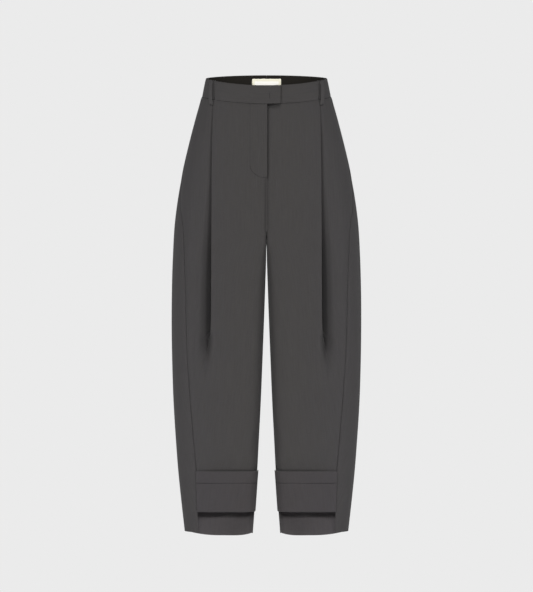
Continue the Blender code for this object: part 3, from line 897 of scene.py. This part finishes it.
# Two tints of the cloth, cuffs, loops, cloth's inside and band's inside, and the thread's colour,
# in linear light. The loops' tints are the cloth's painted lighter, a painted highlight, and the
# cloth's inside is painted far lighter than its outside, painted light where the hems open.
CLOTH_WARM = (0.0432, 0.0407, 0.0398)
CLOTH_COOL = (0.0424, 0.0402, 0.0414)
CUFF_WARM = (0.0438, 0.0400, 0.0409)
CUFF_COOL = (0.0430, 0.0399, 0.0426)
# Painted highlight: the loops are the cloth's own wool, painted lighter for the light they catch
# standing out of the band.
LOOP_PAINTED_LIGHT_WARM = (0.0490, 0.0462, 0.0452)
LOOP_PAINTED_LIGHT_COOL = (0.0480, 0.0456, 0.0470)
# Painted light: the cloth's inside is the same wool, painted far lighter for the light that reaches in
# under the hems.
PAINTED_LIGHT_INSIDE_WARM = (0.0730, 0.0670, 0.0680)
PAINTED_LIGHT_INSIDE_COOL = (0.0715, 0.0660, 0.0700)
INSIDE_WARM = (0.0138, 0.0120, 0.0098)
INSIDE_COOL = (0.0128, 0.0115, 0.0100)
THREAD = (0.0150, 0.0140, 0.0150)

WOOL = wool("charcoal_twill", CLOTH_WARM, CLOTH_COOL)
CUFF_WOOL = wool("charcoal_twill_cuff", CUFF_WARM, CUFF_COOL)
LOOP_WOOL_PAINTED_LIGHT = wool("charcoal_twill_loop_painted_highlight", LOOP_PAINTED_LIGHT_WARM, LOOP_PAINTED_LIGHT_COOL)
WOOL_INSIDE_PAINTED_LIGHT = wool("charcoal_twill_inside_painted_light", PAINTED_LIGHT_INSIDE_WARM, PAINTED_LIGHT_INSIDE_COOL)
BAND_INSIDE = wool("dark_band_inside", INSIDE_WARM, INSIDE_COOL, sheen=0.0)
SEWING = thread("charcoal_thread", THREAD)


def panels():
    for side, turn in SIDES:
        for part, make in (("front", front_grid), ("back", back_grid)):
            points, places = make(side)
            points = on_side(points, turn)
            name = f"{part}_{side}_cloth"
            # The inside is the painted-light copy of the wool.
            sides = [WOOL, WOOL_INSIDE_PAINTED_LIGHT]
            obj = cloth(name, points, places, CLOTH, sides, axis_x=LEG_AXIS * turn)
            dressed(obj, "charcoal_cloth", f"{part}_{side}")
            hung_sheet(obj, points)


def band_grooves(contour, along, lapping):
    """How far the band sinks at the centre back, beside its front loop and beside the tab's end."""
    loop = contour.at_width(FRONT_LOOP)
    near, far = loop - LOOP_WIDTH / 2, loop + LOOP_WIDTH / 2
    sunk = BAND_ROLL * bump(contour.back - along, BAND_ROLL_WIDTH)
    sunk += LOOP_GROOVE * bump(along - near + LOOP_GROOVE_WIDTH / 2, LOOP_GROOVE_WIDTH)
    sunk += LOOP_GROOVE / 2 * bump(along - far, LOOP_GROOVE_WIDTH)
    if not lapping:
        sunk += TAB_GROOVE * bump(along - TAB_REACH - TAB_GROOVE_WIDTH, TAB_GROOVE_WIDTH)
    return sunk


def band_points(start, lapping):
    """Half a waistband's middle surface, from its end near the centre front to the centre back."""
    points, places = [], []
    for down in np.linspace(0, BAND_HEIGHT, BAND_ROWS + 1):
        contour = Contour(down)
        along = np.linspace(start, contour.back - SEAM_GAP / 2, BAND_COLUMNS + 1)
        lowered = eased((along - TAB_CLEAR) / TAB_RAMP)
        lift = (BAND_CLOTH + SEAM_GAP) * (1 - lowered) if lapping else 0.0
        crown = BAND_CROWN * (math.sin(math.pi * down / BAND_HEIGHT) - 1)
        sunk = band_grooves(contour, along, lapping)
        points.append(contour.at(along, lift + crown - sunk - BAND_CLOTH / 2))
        places.append(on_cloth(along, down))
    return np.array(points), np.array(places)


def waistband():
    for side, start, lapping in (("left", -UNDERLAP, False), ("right", -TAB_REACH, True)):
        points, places = band_points(start, lapping)
        points = on_side(points, -1 if lapping else 1)
        name = f"waistband_{side}_cloth"
        sides = [WOOL, BAND_INSIDE]
        obj = cloth(name, points, places[..., ::-1], BAND_CLOTH, sides, edge=BAND_EDGE)
        dressed(obj, "charcoal_cloth", f"waistband_{side}")
        hung_sheet(obj, points)


def cuff_rows():
    """The levels of a cuff's rows, close together at its stitched line."""
    near = [CUFF_LINE + share * 0.001 for share in (-3, -2, -1.2, -0.6, 0, 0.6, 1.2, 2, 3)]
    above = np.linspace(CUFF_TOP, near[0], 7)[:-1]
    below = np.linspace(near[-1], FRONT_HEM + CUFF_OVERHANG - CUFF_FOLD_START, 14)[1:]
    return np.concatenate([above, near, below])


def cuff_out(share, down, waves):
    """How far a cuff's middle surface stands off its front, with a shallow wave in its cloth."""
    settled_share = eased((down - CUFF_TOP) / CUFF_SETTLES)
    stand = CUFF_STAND * (1 - settled_share) * np.sin(math.pi * share)
    groove = CUFF_GROOVE * bump(down - CUFF_LINE, CUFF_GROOVE_WIDTH)
    wave = CUFF_WAVE * math.sin(CUFF_WAVE_START + CUFF_WAVE_TURN * down)
    return SEAM_GAP + CUFF_CLOTH / 2 + stand - groove + wave * np.sin(math.pi * share * waves)


def cuff_fold(along):
    """Rows of the fold under the hem, from the cuff round to the cloth inside."""
    contour = Contour(FRONT_HEM)
    middle_out = (SEAM_GAP + CUFF_CLOTH / 2 - CLOTH / 2) / 2
    radius = SEAM_GAP + CUFF_CLOTH / 2 - middle_out
    for turned in np.linspace(0.2, 0.92, 5) * math.pi:
        row = contour.at(along, middle_out + radius * math.cos(turned))
        row[:, 2] -= CUFF_FOLD_DROP + CUFF_FOLD_HEIGHT * math.sin(turned)
        yield row, FRONT_HEM + 0.001 * turned


def cuffs():
    """Each is turned up from its front's lower edge, with a fold there and a stitched line."""
    for side, turn, waves in (("left", 1, 3), ("right", -1, 2.4)):
        points, places = [], []
        for down in cuff_rows():
            contour = Contour(down)
            along = np.linspace(SEAM_GAP / 2, contour.seam - SEAM_GAP / 2, CUFF_COLUMNS + 1)
            points.append(contour.at(along, cuff_out(along / contour.seam, down, waves)))
            places.append(on_cloth(along, down))
        for row, down in cuff_fold(along):
            points.append(row)
            places.append(on_cloth(along, down))
        points, places = on_side(np.array(points), turn), np.array(places)
        name = f"cuff_{side}_cloth"
        obj = cloth(name, points, places, CUFF_SHELL, [CUFF_WOOL], axis_x=LEG_AXIS * turn)
        dressed(obj, "cuff_cloth", f"cuff_{side}")
        hung_sheet(obj, points)


def loop_points(place):
    """A belt loop's middle surface, held at both ends and standing off between them."""
    points, places = [], []
    for share in np.linspace(0, 1, LOOP_ROWS + 1):
        contour = Contour(LOOP_TOP + share * (LOOP_BOTTOM - LOOP_TOP))
        across = np.linspace(-1, 1, LOOP_COLUMNS + 1) * LOOP_WIDTH / 2
        stand = LOOP_STAND * float(eased(min(share, 1 - share) / LOOP_HELD))
        edge = LOOP_WIDTH / 2 - np.abs(across)
        line = LOOP_LINE_DEPTH * bump(edge - LOOP_LINE_IN, LOOP_LINE_WIDTH)
        rounded = LOOP_ROUND_DEPTH * bump(edge, LOOP_ROUND_WIDTH)
        off = END_LIFT + LOOP_CLOTH / 2 + stand - line - rounded
        points.append(contour.at(place(contour) + across, off))
        places.append(on_cloth(across, contour.z.mean()))
    return np.array(points), np.array(places)


def belt_loops():
    front = loop_points(lambda contour: contour.at_width(FRONT_LOOP))
    back = loop_points(lambda contour: BACK_LOOP_SHARE * contour.back)
    centre = loop_points(lambda contour: contour.back)
    for place, (points, places), turn in (
        ("front_left", front, 1),
        ("front_right", front, -1),
        ("back_left", back, 1),
        ("back_right", back, -1),
        ("back", centre, 1),
    ):
        points = on_side(points, turn)
        name = f"belt_loop_{place}"
        # The loops' wool is painted lighter, a painted highlight.
        obj = cloth(f"{name}_cloth", points, places, LOOP_CLOTH, [LOOP_WOOL_PAINTED_LIGHT], edge=LOOP_EDGE)
        dressed(obj, "charcoal_cloth", name)
        hung_sheet(obj, points)


def label():
    out = -BAND_CLOTH - SEAM_GAP - LABEL_CLOTH / 2
    points, places = [], []
    for down in np.linspace(LABEL_TOP, LABEL_TOP + LABEL_HEIGHT, 11):
        contour = Contour(down)
        across = np.linspace(-LABEL_WIDTH / 2, LABEL_WIDTH / 2, 31)
        points.append(contour.at(contour.back + across, out))
        places.append(on_cloth(across, down - LABEL_TOP - LABEL_HEIGHT / 2))
    points, places = np.array(points), np.array(places)
    obj = cloth("label_satin", points, places, LABEL_CLOTH, [satin_label()])
    dressed(obj, "label_cloth", "label")
    hung_sheet(obj, points)


def stitches(name, runs, radius=THREAD_RADIUS):
    """Sewing threads, joined as one mesh. Each run is a start, an end and the way outwards."""
    turns = np.linspace(0, 2 * math.pi, STITCH_SIDES + 1)[:-1]
    verts, faces = [], []
    for start, end, out in runs:
        lengthwise = (end - start) / np.linalg.norm(end - start)
        across = np.cross(out, lengthwise)
        across /= np.linalg.norm(across)
        up = np.cross(lengthwise, across)
        base = len(verts)
        for share, size in STITCH_SHAPE:
            middle = start + share * (end - start) + up * radius * (size - STITCH_SUNK)
            verts += [middle + radius * size * (math.cos(a) * across + math.sin(a) * up) for a in turns]
        rings = np.arange(base, len(verts)).reshape(-1, STITCH_SIDES)
        for ring, following in zip(rings[:-1], rings[1:]):
            corners = (ring, np.roll(ring, -1), np.roll(following, -1), following)
            faces += np.stack(corners, axis=-1).tolist()
        faces += [rings[0][::-1].tolist(), rings[-1].tolist()]
    mesh = bpy.data.meshes.new(name)
    mesh.from_pydata([tuple(v) for v in verts], [], faces)
    mesh.shade_smooth()
    mesh.materials.append(SEWING)
    return dressed(in_scene(name, mesh), "charcoal_cloth")


def surface_run(route, out_of, turn, pitch=STITCH_PITCH, length=STITCH_LENGTH):
    """Stitches along a route of (along, down) places on the outside of the cloth."""
    spots = []
    for along, down in route:
        contour = Contour(down)
        out = out_of(along, down)
        point = contour.at(np.array([along]), out)[0]
        above = contour.at(np.array([along]), out + 0.01)[0]
        spots.append((point, (above - point) / 0.01))
    points, outs = (on_side(np.array(values), turn) for values in zip(*spots))
    run = np.concatenate([[0.0], np.cumsum(np.linalg.norm(np.diff(points, axis=0), axis=1))])
    starts = np.arange(0, run[-1] - length, pitch)

    def at(values, where):
        return np.stack([np.interp(where, run, values[:, k]) for k in range(3)], axis=-1)

    return list(zip(at(points, starts), at(points, starts + length), at(outs, starts)))


def tab_tack():
    """The tab's bar tack: short threads laid close together across an upright bar."""
    made = []
    out = BAND_CLOTH + SEAM_GAP + TACK_LIFT
    ends = TAB_TACK_ALONG + np.array((-TACK_PITCH, TACK_PITCH))
    for k in range(int(TAB_TACK_HEIGHT / TACK_PITCH)):
        start, end = on_side(Contour(TAB_TACK_TOP + k * TACK_PITCH).at(ends, out), -1)
        made.append((start, end, np.array((0.0, -1.0, 0.0))))
    return made


def fly_sewing():
    """The line of stitches down the fly, and its curve round to the seam."""
    upright = [(FLY_STITCH, down) for down in np.linspace(FLY_STITCH_TOP, FLY_CURVE_TOP, 24)]
    curve = []
    for turned in np.linspace(0, math.pi / 2, 16):
        below = FLY_CURVE_DROP * math.sin(turned)
        curve.append((FLY_STITCH * math.cos(turned), FLY_CURVE_TOP + below))

    def on_front(along, down):
        return float(fly_lift(down) * eased(1 - (along + FLY_REACH) / FLY_RAMP))

    stitches("fly_stitches", surface_run(upright, on_front, -1))
    runs = surface_run(curve, on_front, -1, CLOSE_PITCH, CLOSE_LENGTH)
    stitches("fly_curve_stitches", runs, CURVE_THREAD)


def sewing():
    fly_sewing()
    for side, turn in SIDES:
        middle = Contour(LOOP_TACK_DOWN).at_width(FRONT_LOOP)
        across = middle + np.linspace(-1, 1, 9) * LOOP_WIDTH / 2
        route = [(along, LOOP_TACK_DOWN) for along in across]
        runs = surface_run(route, lambda a, d: LOOP_CLOTH / 2, turn, TACK_PITCH, 2 * TACK_PITCH)
        stitches(f"loop_tack_{side}", runs, LOOP_THREAD)
    stitches("tab_tack", tab_tack())
    for side, turn in SIDES:
        last = Contour(CUFF_LINE).seam - CUFF_THREAD_END
        route = [(along, CUFF_LINE) for along in np.linspace(CUFF_THREAD_END, last, 40)]
        runs = surface_run(route, lambda a, d: CUFF_THREAD_OUT, turn, CLOSE_PITCH, CLOSE_LENGTH)
        stitches(f"cuff_stitches_{side}", runs, CUFF_THREAD)


# Lights, each with its direction and distance from the middle of the part, its size, and the share
# of full brightness that it gives to cloth that faces it
Lamp = namedtuple("Lamp", "name azimuth elevation distance width height share")
LAMPS = (
    Lamp("front_light", 0, 7.0, 30.0, 4.5, 1.2, 0.48),
    Lamp("front_left_light", 40, 7.0, 30.0, 11.0, 1.2, 0.30),
    Lamp("front_right_light", -40, 7.0, 30.0, 11.0, 1.2, 0.30),
    Lamp("left_light", 80, 4, 3.2, 1.2, 3.0, 0.40),
    Lamp("right_light", -80, 4, 3.2, 1.2, 3.0, 0.40),
    Lamp("high_light", 0, 28, 6.0, 2.5, 1.0, 0.16),
    Lamp("low_light", 0, -14, 5.0, 2.0, 0.6, 0.05),
    Lamp("back_light", 180, 12, 8.0, 2.0, 1.5, 0.60),
)
AMBIENT = 0.05
MIDDLE_Z = -0.5
DOME_RADIUS = 9.0
BACKDROP = (0.831, 0.831, 0.831)
FLOOR_COLOUR = (0.80, 0.80, 0.80, 1.0)
FLOOR_RADIUS = 1.8
FLOOR_Z = -1.30
FLOOR_SIDES = 96


def pale_floor():
    """A round floor below the hems."""
    mesh = bpy.data.meshes.new("floor")
    turns = np.linspace(0, 2 * math.pi, FLOOR_SIDES + 1)[:-1]
    rim = [(FLOOR_RADIUS * math.cos(a), FLOOR_RADIUS * math.sin(a), FLOOR_Z) for a in turns]
    mesh.from_pydata(rim, [], [tuple(range(FLOOR_SIDES))])
    s = Shader("pale_floor")
    s.surface({"Base Color": FLOOR_COLOUR, "Roughness": 0.9})
    mesh.materials.append(s.material)
    in_scene("floor", mesh)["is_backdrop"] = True


def stage():
    """The floor, the backdrop, a little even light and the lamps."""
    scene = bpy.context.scene
    scene.view_settings.view_transform = "Standard"
    pale_floor()
    backdrop()
    world = bpy.data.worlds.new("studio")
    world.use_nodes = True
    background = world.node_tree.nodes["Background"]
    background.inputs["Color"].default_value = (1.0, 1.0, 1.0, 1.0)
    background.inputs["Strength"].default_value = AMBIENT
    scene.world = world
    for lamp in LAMPS:
        light = bpy.data.lights.new(lamp.name, "AREA")
        light.shape = "RECTANGLE"
        light.size, light.size_y = lamp.width, lamp.height
        light.energy = lamp.share * (math.pi * lamp.distance) ** 2
        turn, rise = math.radians(lamp.azimuth), math.radians(lamp.elevation)
        level = math.cos(rise)
        away = Vector((math.sin(turn) * level, -math.cos(turn) * level, math.sin(rise)))
        obj = in_scene(lamp.name, light)
        obj.location = Vector((0.0, 0.0, MIDDLE_Z)) + lamp.distance * away
        obj.rotation_euler = away.to_track_quat("Z", "Y").to_euler()


def backdrop():
    """A pale dome behind everything, which only the camera sees."""
    mesh = bpy.data.meshes.new("backdrop")
    bm = bmesh.new()
    bmesh.ops.create_uvsphere(bm, u_segments=48, v_segments=24, radius=DOME_RADIUS)
    bm.to_mesh(mesh)
    bm.free()
    dome = in_scene("backdrop", mesh)
    s = Shader("pale_backdrop")
    s.surface({"Base Color": (0.0, 0.0, 0.0, 1.0), "Specular IOR Level": 0.0})
    s.surface({"Emission Color": (*BACKDROP, 1.0), "Emission Strength": 1.0})
    mesh.materials.append(s.material)
    dome.visible_diffuse = dome.visible_glossy = False
    dome.visible_transmission = dome.visible_shadow = False
    dome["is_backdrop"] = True


def camera():
    """It stands as the photo's does, and looks a little down at the front."""
    data = bpy.data.cameras.new("photo_view")
    data.type = "ORTHO"
    data.ortho_scale = PHOTO_SIZE[1] * METRES_A_PIXEL
    obj = in_scene("photo_view", data)
    level, rise = math.cos(CAMERA_RISE), math.sin(CAMERA_RISE)
    height = (WAIST_ROW - PHOTO_SIZE[1] / 2) * METRES_A_PIXEL / level
    obj.location = (0.0, -CAMERA_REACH * level, height + CAMERA_REACH * rise)
    obj.rotation_euler = (math.pi / 2 - CAMERA_RISE, 0.0, 0.0)
    bpy.context.scene.camera = obj


camera()
stage()
waistband()
panels()
cuffs()
belt_loops()
label()
sewing()

bpy.context.view_layer.update()
boxes = {"cad": CAD_BOX, "visual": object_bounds()}
{name: [list(corner) for corner in box] for name, box in boxes.items()}
